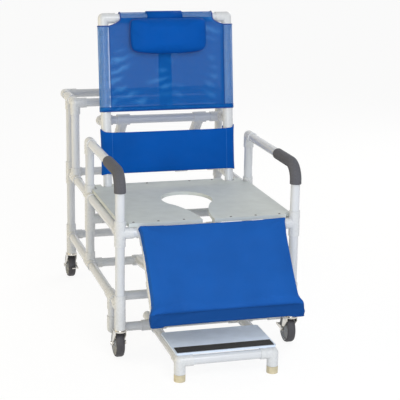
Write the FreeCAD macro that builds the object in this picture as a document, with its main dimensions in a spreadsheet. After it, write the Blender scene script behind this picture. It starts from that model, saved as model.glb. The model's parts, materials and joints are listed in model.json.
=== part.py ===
"""Reclining shower chair: plastic pipe frame on four lockable casters.

The chair faces -Y, +X is to the right of someone who looks at its front, and +Z is up.
The floor is Z = 0 and the origin lies in the middle of the chair's length and width.
Lengths along the chair are counted from the front posts until the last step shifts them.
"""
import math
import os
import re

import FreeCAD
import Part
from FreeCAD import Placement, Rotation, Vector

doc = FreeCAD.newDocument("reclining_shower_chair")
sheet = doc.addObject("Spreadsheet::Sheet", "sizes")

SIZES = [
    # pipe and moulded fittings
    ("pipe_od", 33.4),
    ("pipe_bore", 26.6),
    ("fit_od", 40.0),
    ("fit_reach", 46.0),
    ("fit_gap", 0.1),
    ("slip_gap", 0.06),
    ("branch_step", 0.3),
    ("slip_reach", 26.0),
    ("seat_gap", 0.3),
    # base frame
    ("half_width", 321.5),
    ("mid_depth", 545.0),
    ("rear_depth", 964.0),
    ("push_in", 119.0),
    ("push_out", 111.0),
    ("hanger_depth", 128.0),
    ("post_foot", 112.0),
    ("low_height", 192.0),
    ("rail_height", 464.0),
    ("arm_height", 678.0),
    ("push_height", 778.0),
    ("hanger_height", 72.0),
    ("arm_bend", 58.0),
    ("grip_wall", 4.2),
    ("grip_back", 196.0),
    ("grip_drop", 68.0),
    # seat panel
    ("panel_thick", 12.7),
    ("panel_half", 316.0),
    ("panel_neck_half", 290.0),
    ("panel_front", 2.0),
    ("panel_tail", 45.0),
    ("post_clear", 24.0),
    ("hole_middle", 300.0),
    ("hole_half_length", 112.0),
    ("hole_half_width", 96.0),
    ("hole_slot", 44.0),
    ("funnel_start", 10.0),
    ("funnel_end", 240.0),
    ("funnel_half", 78.0),
    ("notch_width", 46.0),
    ("notch_lead", 5.0),
    # back
    ("back_half", 247.0),
    ("back_tilt", 7.4),
    ("back_length", 773.0),
    ("strut_bar_up", 376.0),
    ("strut_bar_out", 100.0),
    ("strut_half", 157.0),
    ("strut_tube_od", 42.2),
    ("strut_tube_bore", 35.0),
    ("strut_tube_length", 196.0),
    ("strut_rod_od", 26.7),
    ("strut_rod_bore", 21.0),
    ("strut_rod_length", 228.0),
    ("sling_wall", 1.6),
    ("sling_foot", 416.0),
    ("sling_corner", 64.0),
    ("sling_drop", 30.0),
    ("lumbar_foot", 172.0),
    ("lumbar_height", 176.0),
    ("lumbar_thick", 28.0),
    ("lumbar_wall", 4.0),
    ("pillow_half", 148.0),
    ("pillow_height", 128.0),
    ("pillow_thick", 50.0),
    ("pillow_top", 6.0),
    ("pillow_crown", 34.0),
    ("lumbar_crown", 26.0),
    ("sleeve_inset", 6.0),
    # leg rest
    ("leg_half", 236.0),
    ("leg_tilt", 38.0),
    ("leg_length", 322.0),
    ("leg_prop_half", 125.0),
    ("leg_pad_half", 265.0),
    ("leg_pad_above", 6.0),
    ("leg_pad_length", 364.0),
    ("leg_pad_thick", 38.0),
    ("leg_pad_crown", 40.0),
    ("pad_draw", 9.0),
    ("pad_corner", 16.0),
    ("leg_tube_length", 480.0),
    ("leg_rod_od", 21.3),
    ("leg_rod_bore", 15.8),
    ("leg_rod_length", 480.0),
    # footrest
    ("foot_half", 167.0),
    ("foot_front", 245.0),
    ("foot_rail_back", 230.0),
    ("plate_lip", 13.0),
    ("plate_length", 212.0),
    ("plate_thick", 6.5),
    ("plate_round", 8.0),
    ("strip_length", 50.0),
    ("strip_inset", 6.0),
    ("strip_thick", 1.2),
    ("tip_od", 40.0),
    ("tip_height", 25.0),
    ("tip_floor", 5.0),
    # casters
    ("wheel_od", 101.6),
    ("wheel_width", 31.0),
    ("rim_od", 86.0),
    ("web_width", 16.0),
    ("axle_od", 10.0),
    ("axle_gap", 0.06),
    ("trail", 30.0),
    ("fork_inside", 36.0),
    ("fork_wall", 2.6),
    ("crown_od", 48.0),
    ("crown_foot", 104.4),
    ("crown_thick", 5.2),
    ("crown_front", 14.0),
    ("crown_back", 22.0),
    ("fork_ear", 9.0),
    ("cheek_drop", 12.0),
    ("race_inset", 6.0),
    ("hub_proud", 1.0),
    ("dish_slope", 3.0),
    ("axle_head", 16.0),
    ("axle_head_thick", 4.0),
    ("hub_boss", 24.0),
    ("rim_lip", 4.0),
    ("tyre_shoulder", 7.0),
    ("stem_length", 30.0),
    ("pedal_reach", 64.0),
    ("pedal_wall", 2.0),
    ("pedal_gap", 0.4),
    ("pedal_eye", 16.0),
    ("pedal_end", 7.0),
    ("pedal_toe", 26.0),
    ("tread_gap", 3.0),
]
ALIASES = {name for name, _ in SIZES}


def fill_sheet():
    """Write each driving size into the sheet under its own name."""
    for row, (name, value) in enumerate(SIZES, start=1):
        sheet.set(f"A{row}", name)
        sheet.set(f"B{row}", str(value))
        sheet.setAlias(f"B{row}", name)


def derive(name, formula):
    """Add a size that follows from the driving ones."""
    row = len(ALIASES) + 1
    sheet.set(f"A{row}", name)
    sheet.set(f"B{row}", "=" + formula)
    sheet.setAlias(f"B{row}", name)
    ALIASES.add(name)


def in_sheet(text):
    """Point every size name in an expression at the sheet."""
    def point(match):
        word = match.group()
        return "sizes." + word if word in ALIASES else word

    return re.sub(r"[a-z_]+", point, str(text))


def bind(obj, **values):
    for prop, text in values.items():
        obj.setExpression(prop.replace("__", "."), in_sheet(text))
    return obj


def size(name):
    """Number that a sheet cell holds now, for shapes that are drawn point by point."""
    value = sheet.get(name)
    return float(getattr(value, "Value", value))


fill_sheet()
doc.recompute()
derive("fit_radius", "fit_od / 2")
derive("pipe_radius", "pipe_od / 2")
derive("second_depth", "rear_depth - push_in")
derive("push_depth", "rear_depth + push_out")
derive("panel_back", "mid_depth + panel_tail")
derive("notch_front", "mid_depth - notch_lead")
derive("plate_half", "foot_half + plate_lip")
doc.recompute()
derive("shift_back", "(foot_front - push_depth) / 2")
derive("mouth", "fit_reach + fit_gap")
derive("hinge_height", "rail_height - 2 * fit_reach - fit_gap")
derive("leg_prop_bar", "leg_length - 2 * fit_reach - fit_gap")
derive("panel_foot", "rail_height + fit_od / 2 + seat_gap")
derive("plate_foot", "hanger_height + fit_od / 2 + seat_gap")
doc.recompute()
derive("lean_sine", "sin(back_tilt * 1deg)")
derive("lean_cosine", "cos(back_tilt * 1deg)")
doc.recompute()
derive("strut_top_depth", "mid_depth + strut_bar_out * lean_cosine + strut_bar_up * lean_sine")
derive("strut_top_height", "hinge_height - strut_bar_out * lean_sine + strut_bar_up * lean_cosine")
derive("prop_front_depth", "-leg_prop_bar * sin(leg_tilt * 1deg)")
derive("prop_front_height", "rail_height - leg_prop_bar * cos(leg_tilt * 1deg)")
doc.recompute()
derive("strut_lean", "atan2(rear_depth - strut_top_depth; strut_top_height - rail_height)")
derive("prop_rise", "atan2(prop_front_height - low_height; mid_depth - prop_front_depth)")
doc.recompute()

TURN = {
    "+z": Rotation(),
    "-z": Rotation(Vector(1, 0, 0), 180),
    "+y": Rotation(Vector(1, 0, 0), -90),
    "-y": Rotation(Vector(1, 0, 0), 90),
    "+x": Rotation(Vector(0, 1, 0), 90),
    "-x": Rotation(Vector(0, 1, 0), -90),
}
nodes = []


def place(obj, at, turn=None):
    """Put an object at a point given by three expressions."""
    obj.Placement = Placement(Vector(), turn or Rotation())
    for letter, text in zip("xyz", at):
        if str(text) != "0":
            obj.setExpression(f"Placement.Base.{letter}", in_sheet(text))
    return obj


def cylinder(at, way, radius, length):
    obj = doc.addObject("Part::Cylinder", "round")
    bind(obj, Radius=radius, Height=length)
    return place(obj, at, TURN[way])


def box(at, length, width, height):
    obj = doc.addObject("Part::Box", "block")
    bind(obj, Length=length, Width=width, Height=height)
    return place(obj, at)


def fuse(shapes):
    if len(shapes) == 1:
        return shapes[0]
    obj = doc.addObject("Part::MultiFuse", "joined")
    obj.Shapes = shapes
    obj.Refine = True
    return obj


def cut(base, tools):
    obj = doc.addObject("Part::Cut", "trimmed")
    obj.Base = base
    obj.Tool = fuse(tools)
    obj.Refine = True
    return obj


def pipe(at, way, length, outer="pipe_od", bore="pipe_bore"):
    """Straight hollow pipe that starts at a point and runs one way."""
    return cut(cylinder(at, way, f"{outer} / 2", length), [cylinder(at, way, f"{bore} / 2", length)])


def moved(at, way, distance):
    """Expressions for the point that lies a distance away along an axis."""
    out = list(at)
    index = "xyz".index(way[1])
    out[index] = f"({out[index]}) {way[0]} ({distance})"
    return tuple(out)


def fitting(at, arms, slip="", rounded=False, short=""):
    """Moulded pipe fitting: arms of one diameter that meet at a point.

    arms lists the ways the arms point, slip is the axis letter of a bore that turns or slides
    on its pipe, and short is the axis letter of a run with the short slip length.
    A branch is a touch slimmer than the run it leaves. Arms that pipes close stay solid inside.
    """
    skin = []
    bores = []
    present = [letter for letter in "xyz" if any(arm[1] == letter for arm in arms)]
    letters = sorted(present, key=lambda letter: -sum(arm[1] == letter for arm in arms))
    for rank, letter in enumerate(letters):
        ways = [arm for arm in arms if arm[1] == letter]
        reach = "slip_reach" if letter == short else "fit_reach"
        start = moved(at, "-" + letter, reach) if len(ways) == 2 else at
        way = "+" + letter if len(ways) == 2 else ways[0]
        length = f"{len(ways)} * {reach}"
        radius = "fit_radius" if rounded else f"fit_radius - {rank} * branch_step"
        skin.append(cylinder(start, way, radius, length))
        if letter == slip:
            bores.append(cylinder(start, way, "pipe_radius + slip_gap", length))
    if rounded:
        ball = doc.addObject("Part::Sphere", "corner")
        bind(ball, Radius="fit_radius")
        skin.append(place(ball, at))
    return cut(fuse(skin), bores) if bores else fuse(skin)


def both_sides(shapes):
    """The given left-hand shapes and their mirror images on the right."""
    left = doc.addObject("Part::Compound", "left_side")
    left.Links = shapes
    right = doc.addObject("Part::Mirroring", "right_side")
    right.Source = left
    right.Normal = Vector(1, 0, 0)
    return [left, right]


def node(name, shapes, at=("0", "shift_back", "0"), lean=None):
    """Gather shapes under one name and set where they stand."""
    obj = doc.addObject("Part::Compound", name)
    obj.Label = name
    obj.Links = shapes
    if lean is None:
        place(obj, at)
    else:
        place(obj, at, Rotation(Vector(1, 0, 0), 10))
        obj.setExpression("Placement.Rotation.Angle", in_sheet(lean))
    nodes.append(obj)
    return obj


def drawn(shape):
    """Document object for a shape that is drawn from sheet sizes."""
    obj = doc.addObject("Part::Feature", "drawn")
    obj.Shape = shape
    return obj


LEFT = "-half_width"


def span(first, last, at_height, side=LEFT):
    """Pipe along the chair between the fittings on two posts."""
    return pipe((side, f"({first}) + mouth", at_height), "+y", f"({last}) - ({first}) - 2 * mouth")


def crossbar(depth, height, half="half_width"):
    """Pipe across the chair between the fittings on two posts."""
    reach = f"({half}) - mouth"
    return pipe((f"-({reach})", depth, height), "+x", f"2 * ({reach})")


def post(depth, low, high):
    """Upright pipe between the fittings at two heights."""
    return pipe((LEFT, depth, f"({low}) + mouth"), "+z", f"({high}) - ({low}) - 2 * mouth")


# base frame: four upright pairs
node("front_posts", both_sides([post("0", "low_height", "rail_height")]))
node("mid_posts", both_sides([
    post("mid_depth", "low_height", "hinge_height"),
    post("mid_depth", "rail_height", "arm_height"),
]))
node("push_posts", both_sides([post("second_depth", "rail_height", "push_height")]))
node("rear_posts", both_sides([
    post("rear_depth", "low_height", "rail_height"),
    post("rear_depth", "rail_height", "push_height"),
]))

# armrests: pipe bent down into the front post, with a foam grip round the bend
BEND_TURN = Rotation(Vector(0, -1, 0), Vector(0, 0, 1), Vector(-1, 0, 0))


def bent_rod(radius, drop, back):
    """Round bar: down from the bend by one length and back from it by another."""
    corner = (LEFT, "arm_bend", "arm_height - arm_bend")
    bend = doc.addObject("Part::Torus", "bend")
    bind(bend, Radius1="arm_bend", Radius2=radius)
    bend.Angle3 = 90
    place(bend, corner, BEND_TURN)
    down = cylinder((LEFT, "0", "arm_height - arm_bend"), "-z", radius, f"({drop}) - arm_bend")
    rear = cylinder((LEFT, "arm_bend", "arm_height"), "+y", radius, f"({back}) - arm_bend")
    return fuse([bend, down, rear])


arm_drop = "arm_height - rail_height - mouth"
arm_back = "mid_depth - mouth"
arm_tube = cut(bent_rod("pipe_radius", arm_drop, arm_back), [bent_rod("pipe_bore / 2", arm_drop, arm_back)])
grip = cut(
    bent_rod("pipe_radius + grip_wall", "grip_drop", "grip_back"),
    [bent_rod("pipe_radius + seat_gap", "grip_drop", "grip_back")],
)
node("arm_tubes", both_sides([arm_tube]))
node("arm_grips", both_sides([grip]))
node("arm_elbows", both_sides([fitting((LEFT, "mid_depth", "arm_height"), ["-z", "-y"], rounded=True)]))

# rails along the two sides
node("lower_rails", both_sides([
    span("0", "hanger_depth", "low_height"),
    span("hanger_depth", "mid_depth", "low_height"),
    span("mid_depth", "rear_depth", "low_height"),
]))
node("seat_rails", both_sides([
    span("0", "mid_depth", "rail_height"),
    span("mid_depth", "second_depth", "rail_height"),
    span("second_depth", "rear_depth", "rail_height"),
]))
node("push_rails", both_sides([
    span("second_depth", "rear_depth", "push_height"),
    span("rear_depth", "push_depth", "push_height"),
]))

# bars across the chair
node("low_cross_bars", [
    crossbar("hanger_depth", "low_height"),
    crossbar("mid_depth", "low_height"),
    crossbar("rear_depth", "low_height"),
])
node("seat_front_rail", [crossbar("0", "rail_height")])
node("back_hinge_bar", [crossbar("mid_depth", "hinge_height")])
node("rear_seat_bar", [crossbar("rear_depth", "rail_height")])
node("push_bars", [crossbar("second_depth", "push_height"), crossbar("push_depth", "push_height")])

# hanger that carries the sliding footrest
hanger_at = (LEFT, "hanger_depth", "hanger_height")
node("hanger_pipes", both_sides([
    pipe(moved(hanger_at, "+z", "mouth"), "+z", "low_height - hanger_height - 2 * mouth"),
    pipe(moved(hanger_at, "+x", "mouth"), "+x", "half_width - foot_half - 2 * mouth"),
]) + [crossbar("hanger_depth", "hanger_height", "foot_half")])
node("footrest_guides", both_sides([
    fitting(("-foot_half", "hanger_depth", "hanger_height"), ["+x", "-x", "+y", "-y"], slip="y"),
]))


# moulded fittings of the base, the seat level and the push handle
def foot_fitting(depth, arms):
    """Lowest fitting of a post, whose upright run is longer below to take the stem of a caster."""
    at = (LEFT, depth, "post_foot")
    run = cylinder(at, "+z", "fit_radius", "low_height - post_foot + fit_reach")
    branches = [
        cylinder((LEFT, depth, "low_height"), way, f"fit_radius - {rank} * branch_step", "fit_reach")
        for rank, way in enumerate(arms, start=1)
    ]
    skin = fuse([run] + branches)
    return cut(skin, [cylinder(at, "+z", "pipe_bore / 2", "stem_length + seat_gap")])


node("base_fittings", both_sides([
    foot_fitting("0", ["+y"]),
    fitting((LEFT, "hanger_depth", "low_height"), ["+y", "-y", "-z", "+x"]),
    fitting(hanger_at, ["+z", "+x"], rounded=True),
    fitting((LEFT, "mid_depth", "low_height"), ["+z", "+y", "-y", "+x"]),
    foot_fitting("rear_depth", ["-y", "+x"]),
]))
node("seat_fittings", both_sides([
    fitting((LEFT, "0", "rail_height"), ["+z", "-z", "+y", "+x"]),
    fitting((LEFT, "mid_depth", "rail_height"), ["+z", "-z", "+y", "-y"]),
    fitting((LEFT, "mid_depth", "hinge_height"), ["+z", "-z", "+x"]),
    fitting((LEFT, "second_depth", "rail_height"), ["+z", "+y", "-y"]),
    fitting((LEFT, "rear_depth", "rail_height"), ["+z", "-z", "-y", "+x"]),
]))
node("push_fittings", both_sides([
    fitting((LEFT, "second_depth", "push_height"), ["-z", "+y", "+x"], rounded=True),
    fitting((LEFT, "rear_depth", "push_height"), ["-z", "+y", "-y"]),
    fitting((LEFT, "push_depth", "push_height"), ["-y", "+x"], rounded=True),
]))

# seat panel with a keyhole opening, cleared round the posts
panel = box(
    ("-panel_half", "panel_front", "panel_foot"),
    "2 * panel_half", "panel_back - panel_front", "panel_thick",
)
oval = doc.addObject("Part::Ellipse", "oval")
bind(oval, MajorRadius="hole_half_length", MinorRadius="hole_half_width")
place(oval, ("0", "hole_middle", "panel_foot - 1"), Rotation(Vector(0, 0, 1), 90))
opening = doc.addObject("Part::Extrusion", "opening")
opening.Base = oval
opening.Dir = Vector(0, 0, 1)
opening.DirMode = "Custom"
opening.Solid = True
bind(opening, LengthFwd="panel_thick + 2")
panel_low = "panel_foot - 1"
panel_deep = "panel_thick + 2"


# how far a cutting shape runs past the faces it opens
OVERCUT = 1.0


def funnel_shape():
    """Slot from the front edge that flares into the oval along two arcs."""
    slot = size("hole_slot") / 2
    start, end = size("funnel_start"), size("funnel_end")
    spread, rise = size("funnel_half") - slot, end - start
    bend = (spread ** 2 + rise ** 2) / (2 * spread)
    half_turn = math.asin(rise / bend) / 2
    way_x = slot + bend * (1 - math.cos(half_turn))
    way_y = start + bend * math.sin(half_turn)
    front = size("panel_front") - OVERCUT
    right = [
        Part.LineSegment(Vector(slot, front, 0), Vector(slot, start, 0)).toShape(),
        Part.Arc(Vector(slot, start, 0), Vector(way_x, way_y, 0), Vector(slot + spread, end, 0)).toShape(),
    ]
    left = [edge.mirror(Vector(), Vector(1, 0, 0)) for edge in right]
    ends = [
        Part.LineSegment(Vector(-slot, front, 0), Vector(slot, front, 0)).toShape(),
        Part.LineSegment(Vector(-slot - spread, end, 0), Vector(slot + spread, end, 0)).toShape(),
    ]
    outline = Part.Wire(Part.__sortEdges__(right + left + ends))
    return Part.Face(outline).extrude(Vector(0, 0, size("panel_thick") + 2 * OVERCUT))


panel_cuts = [opening, place(drawn(funnel_shape()), ("0", "0", panel_low))]
for side in ("-", ""):
    corner_x = "-panel_half - 1" if side else "panel_neck_half"
    rear_x = "-panel_half - 1" if side else "half_width - post_clear"
    corner_wide = "panel_half - panel_neck_half + 1"
    rear_wide = "panel_half - half_width + post_clear + 1"
    panel_cuts.append(box((corner_x, "panel_front - 1", panel_low), corner_wide, "post_clear", panel_deep))
    panel_cuts.append(box(
        (rear_x, "mid_depth - post_clear", panel_low),
        rear_wide, "panel_back - mid_depth + post_clear + 1", panel_deep,
    ))
    notch_round = (f"{side}back_half", "notch_front + notch_width / 2", panel_low)
    panel_cuts.append(cylinder(notch_round, "+z", "notch_width / 2", panel_deep))
    panel_cuts.append(box(
        (f"{side}back_half - notch_width / 2", "notch_front + notch_width / 2", panel_low),
        "notch_width", "panel_back - notch_front", panel_deep,
    ))
node("seat_panel", [cut(panel, panel_cuts)])

# reclining back, drawn upright with its hinge at the origin and then leaned back
back_at = ("0", "shift_back + mid_depth", "hinge_height")
BACK_LEAN = "-back_tilt"
BACK_SIDE = "-back_half"


def back_node(name, shapes):
    return node(name, shapes, back_at, BACK_LEAN)


back_node("back_posts", both_sides([
    pipe((BACK_SIDE, "0", "mouth"), "+z", "strut_bar_up - 2 * mouth"),
    pipe((BACK_SIDE, "0", "strut_bar_up + mouth"), "+z", "back_length - strut_bar_up - 2 * mouth"),
]))
back_node("back_top_bar", [crossbar("0", "back_length", "back_half")])
back_node("back_elbows", both_sides([
    fitting((BACK_SIDE, "0", "back_length"), ["-z", "+x"], rounded=True),
    fitting((BACK_SIDE, "strut_bar_out", "strut_bar_up"), ["-y", "+x"], rounded=True),
]))
back_node("back_tees", both_sides([
    fitting((BACK_SIDE, "0", "0"), ["+x", "-x", "+z"], slip="x", short="x"),
    fitting((BACK_SIDE, "0", "strut_bar_up"), ["+z", "-z", "+y"]),
]))
back_node("back_strut_bar", both_sides([
    pipe((BACK_SIDE, "mouth", "strut_bar_up"), "+y", "strut_bar_out - 2 * mouth"),
]) + [crossbar("strut_bar_out", "strut_bar_up", "back_half")])

# mesh sling: flat panel with pockets sewn round the posts and the top bar
sling_top = "back_length - sling_drop"
pocket = "fit_radius + seat_gap"
sling_skin = [
    cylinder((BACK_SIDE, "0", "sling_foot"), "+z", f"{pocket} + sling_wall", f"{sling_top} - sling_foot"),
    cylinder(("back_half", "0", "sling_foot"), "+z", f"{pocket} + sling_wall", f"{sling_top} - sling_foot"),
    cylinder(
        ("-back_half + sling_corner", "0", "back_length"), "+x",
        f"{pocket} + sling_wall", "2 * (back_half - sling_corner)",
    ),
    box(
        (BACK_SIDE, f"-({pocket}) - sling_wall", "sling_foot"),
        "2 * back_half", "sling_wall", f"{sling_top} - sling_foot",
    ),
    box(
        ("-back_half + sling_corner", f"-({pocket}) - sling_wall", f"{sling_top} - 1"),
        "2 * (back_half - sling_corner)", "sling_wall", "sling_drop + 1",
    ),
]
sling_bores = [
    cylinder((BACK_SIDE, "0", "sling_foot"), "+z", pocket, "back_length"),
    cylinder(("back_half", "0", "sling_foot"), "+z", pocket, "back_length"),
    cylinder((BACK_SIDE, "0", "back_length"), "+x", pocket, "2 * back_half"),
]
back_node("back_sling", [cut(fuse(sling_skin), sling_bores)])


def waisted(half_wide, half_high, draw, corner, at):
    """Closed outline in the XZ plane: rounded corners and sides drawn in by a little."""
    wide, high = half_wide, half_high
    inner = corner * (1 - math.sqrt(0.5))
    edges = []
    for turn in range(4):
        spin = Rotation(Vector(0, 1, 0), -90 * turn)
        w, h = (wide, high) if turn % 2 == 0 else (high, wide)
        side = [Vector(w, 0, -h + corner), Vector(w - draw, 0, 0), Vector(w, 0, h - corner)]
        bend = [side[2], Vector(w - inner, 0, h - inner), Vector(w - corner, 0, h)]
        for points in (side, bend):
            moved_points = [spin.multVec(point) + at for point in points]
            edges.append(Part.Arc(*moved_points).toShape())
    return Part.Wire(edges)


# how far the outline of a cushion draws in at each share of its thickness
CUSHION_STEPS = [(0.0, 5.0), (0.3, 0.0), (0.62, 1.0), (0.8, 5.0), (0.92, 14.0)]


def cushion(half_wide, half_high, thick, draw, corner, crown):
    """Padded solid on the XZ plane whose crowned face looks towards -Y."""
    wires = []
    for share, inset in CUSHION_STEPS + [(1.0, crown)]:
        round_off = max(corner - inset * 0.4, corner * 0.4)
        at = Vector(0, -thick * share, 0)
        wires.append(waisted(half_wide - inset, half_high - inset, draw, round_off, at))
    return Part.makeLoft(wires, True, True)


# headrest pillow hung on the top bar by its strap
pillow = drawn(cushion(
    size("pillow_half"), size("pillow_height") / 2, size("pillow_thick"),
    size("pad_draw"), size("pad_corner"), size("pillow_crown"),
))
place(pillow, ("0", f"-({pocket} + sling_wall + seat_gap)", "back_length - pillow_top - pillow_height / 2"))
back_node("head_pillow", [pillow])

# lumbar pad: padded panel with a sleeve round each post
lumbar_in = "fit_radius + seat_gap"
lumbar_pad = drawn(cushion(
    size("back_half"), size("lumbar_height") / 2, size("lumbar_thick"),
    size("pad_draw"), size("pad_corner"), size("lumbar_crown"),
))
place(lumbar_pad, ("0", f"-({lumbar_in})", "lumbar_foot + lumbar_height / 2"))
sleeves = []
for side in (BACK_SIDE, "back_half"):
    at = (side, "0", "lumbar_foot + sleeve_inset")
    sleeve_length = "lumbar_height - 2 * sleeve_inset"
    sleeves.append(cut(
        cylinder(at, "+z", f"{lumbar_in} + lumbar_wall", sleeve_length),
        [cylinder(at, "+z", lumbar_in, sleeve_length)],
    ))
back_node("lumbar_pad", [fuse([lumbar_pad] + sleeves)])

# recline struts: a wide tube hung on the back slides over a rod hinged on the rear seat bar
strut_top_at = ("0", "shift_back + strut_top_depth", "strut_top_height")
strut_foot_at = ("0", "shift_back + rear_depth", "rail_height")
STRUT_SIDE = "-strut_half"


def swing_tube(across, way, length):
    """Wide tube that hangs from a slip eye on a bar."""
    tube = cylinder((across, "0", "0"), way, "strut_tube_od / 2", length)
    eye_start = (f"({across}) - slip_reach", "0", "0")
    eye = cylinder(eye_start, "+x", "strut_tube_od / 2 + branch_step", "2 * slip_reach")
    bores = [
        cylinder((across, "0", "0"), way, "strut_tube_bore / 2", length),
        cylinder(eye_start, "+x", "pipe_radius + slip_gap", "2 * slip_reach"),
    ]
    return cut(fuse([tube, eye]), bores)


def swing_rod(across, way, outer, bore, length):
    """Slim rod in the arm of a slip tee on a bar."""
    at = (across, "0", "0")
    tee = fitting(at, ["+x", "-x", way], slip="x", short="x")
    return [tee, pipe(moved(at, way, "mouth"), way, f"{length} - mouth", outer, bore)]


node(
    "strut_tubes", both_sides([swing_tube(STRUT_SIDE, "-z", "strut_tube_length")]),
    strut_top_at, "strut_lean",
)
node(
    "strut_rods",
    both_sides(swing_rod(STRUT_SIDE, "+z", "strut_rod_od", "strut_rod_bore", "strut_rod_length")),
    strut_foot_at, "strut_lean",
)

# leg rest, drawn hanging straight down from its hinge and then swung forward
leg_at = ("0", "shift_back", "rail_height")
LEG_LEAN = "-leg_tilt"
LEG_SIDE = "-leg_half"


def leg_node(name, shapes):
    return node(name, shapes, leg_at, LEG_LEAN)


leg_node("leg_pipes", both_sides([
    pipe((LEG_SIDE, "0", "-mouth"), "-z", "leg_prop_bar - 2 * mouth"),
]) + [crossbar("0", "-leg_length", "leg_half"), crossbar("0", "-leg_prop_bar", "leg_half")])
leg_node("leg_fittings", both_sides([
    fitting((LEG_SIDE, "0", "0"), ["+x", "-x", "-z"], slip="x", short="x"),
    fitting((LEG_SIDE, "0", "-leg_prop_bar"), ["+z", "-z", "+x"]),
    fitting((LEG_SIDE, "0", "-leg_length"), ["+z", "+x"], rounded=True),
]))
leg_pad = drawn(cushion(
    size("leg_pad_half"), size("leg_pad_length") / 2, size("leg_pad_thick"),
    size("pad_draw"), size("pad_corner"), size("leg_pad_crown"),
))
place(leg_pad, ("0", "-fit_radius - seat_gap", "leg_pad_above - leg_pad_length / 2"))
leg_node("leg_pad", [leg_pad])

# props of the leg rest: a wide tube on the mid bar slides over a rod hinged under the pad
PROP_SIDE = "-leg_prop_half"
PROP_LEAN = "-prop_rise"
node(
    "leg_prop_tubes", both_sides([swing_tube(PROP_SIDE, "-y", "leg_tube_length")]),
    ("0", "shift_back + mid_depth", "low_height"), PROP_LEAN,
)
node(
    "leg_prop_rods",
    both_sides(swing_rod(PROP_SIDE, "+y", "leg_rod_od", "leg_rod_bore", "leg_rod_length")),
    ("0", "shift_back + prop_front_depth", "prop_front_height"), PROP_LEAN,
)

# sliding footrest
FOOT_SIDE = "-foot_half"
foot_corner = (FOOT_SIDE, "-foot_front", "hanger_height")
node("foot_pipes", both_sides([
    pipe(moved(foot_corner, "+y", "mouth"), "+y", "foot_front + foot_rail_back - mouth"),
    pipe((FOOT_SIDE, "-foot_front", "tip_floor"), "+z", "hanger_height - tip_floor - mouth"),
]) + [crossbar("-foot_front", "hanger_height", "foot_half")])
node("foot_elbows", both_sides([fitting(foot_corner, ["+y", "+x", "-z"], rounded=True)]))
plate = box(
    ("-plate_half", "-foot_front", "plate_foot"), "2 * plate_half", "plate_length", "plate_thick",
)
doc.recompute()
rounded_plate = doc.addObject("Part::Fillet", "rounded_plate")
rounded_plate.Base = plate
upright = [
    number for number, edge in enumerate(plate.Shape.Edges, start=1)
    if abs(edge.BoundBox.ZLength - size("plate_thick")) < 1e-6
]
rounded_plate.Edges = [(number, size("plate_round"), size("plate_round")) for number in upright]
node("foot_plate", [rounded_plate])
node("foot_strip", [box(
    ("-plate_half + strip_inset", "-foot_front + strip_inset", "plate_foot + plate_thick"),
    "2 * (plate_half - strip_inset)", "strip_length", "strip_thick",
)])
tip_at = (FOOT_SIDE, "-foot_front", "0")
tip_cup = cylinder(moved(tip_at, "+z", "tip_floor"), "+z", "pipe_radius + seat_gap", "tip_height")
node("foot_tips", both_sides([cut(cylinder(tip_at, "+z", "tip_od / 2", "tip_height"), [tip_cup])]))


# casters
def mirrored_turn(side):
    """Solid of revolution about X from one side of its profile, given as (across, radius)."""
    profile = side + [(-across, radius) for across, radius in reversed(side)]
    points = [Vector(across, 0, radius) for across, radius in profile]
    face = Part.Face(Part.makePolygon(points + points[:1]))
    return face.revolve(Vector(), Vector(1, 0, 0), 360)


def wheel_shapes():
    """Hub with a dished web, and tyre with round shoulders, both about the axle."""
    half = size("wheel_width") / 2
    web = size("web_width") / 2
    rim = size("rim_od") / 2
    bore = size("axle_od") / 2 + size("axle_gap")
    boss = size("hub_boss") / 2
    lip = rim - size("rim_lip")
    boss_end = half + size("hub_proud")
    rim_end = half - size("hub_proud")
    dish_foot = boss + size("dish_slope")
    dish_top = lip - size("dish_slope")
    hub_side = [
        (boss_end, bore), (boss_end, boss), (web, dish_foot), (web, dish_top), (rim_end, lip), (rim_end, rim),
    ]
    outer = size("wheel_od") / 2
    shoulder = size("tyre_shoulder")
    tyre_side = [
        (half, rim), (half, outer - shoulder), (half - shoulder * 0.3, outer - shoulder * 0.35),
        (half - shoulder, outer),
    ]
    return mirrored_turn(hub_side), mirrored_turn(tyre_side)


def fork_shape():
    """Pressed fork: crown plate with two cheeks that taper back to the axle, race, stem and axle."""
    inside = size("fork_inside") / 2
    wall = size("fork_wall")
    foot = size("crown_foot")
    top = foot + size("crown_thick")
    front = -size("crown_front")
    back = size("crown_back")
    trail = size("trail")
    axle_height = size("wheel_od") / 2
    ear = size("fork_ear")
    crown = Part.makeCylinder(size("crown_od") / 2, top - foot, Vector(0, 0, foot))
    bridge = Part.makeBox(2 * (inside + wall), back - front, top - foot, Vector(-inside - wall, front, foot))
    points = [
        Vector(0, front, top), Vector(0, back, top), Vector(0, trail + ear * 0.98, axle_height + ear * 0.36),
        Vector(0, trail, axle_height), Vector(0, trail - ear * 0.86, axle_height + ear * 0.54),
        Vector(0, front, foot - size("cheek_drop")),
    ]
    cheek = Part.Face(Part.makePolygon(points + points[:1])).extrude(Vector(wall, 0, 0))
    cheek = cheek.fuse(Part.makeCylinder(ear, wall, Vector(0, trail, axle_height), Vector(1, 0, 0)))
    cheeks = [cheek.translated(Vector(start, 0, 0)) for start in (inside, -inside - wall)]
    race_top = size("post_foot") - size("seat_gap")
    race = Part.makeCylinder(size("crown_od") / 2 - size("race_inset"), race_top - top, Vector(0, 0, top))
    stem_radius = size("pipe_bore") / 2 - size("slip_gap")
    stem = Part.makeCylinder(stem_radius, size("stem_length"), Vector(0, 0, race_top))
    return crown.fuse([bridge, race, stem] + cheeks + axle_shapes()).removeSplitter()


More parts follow.
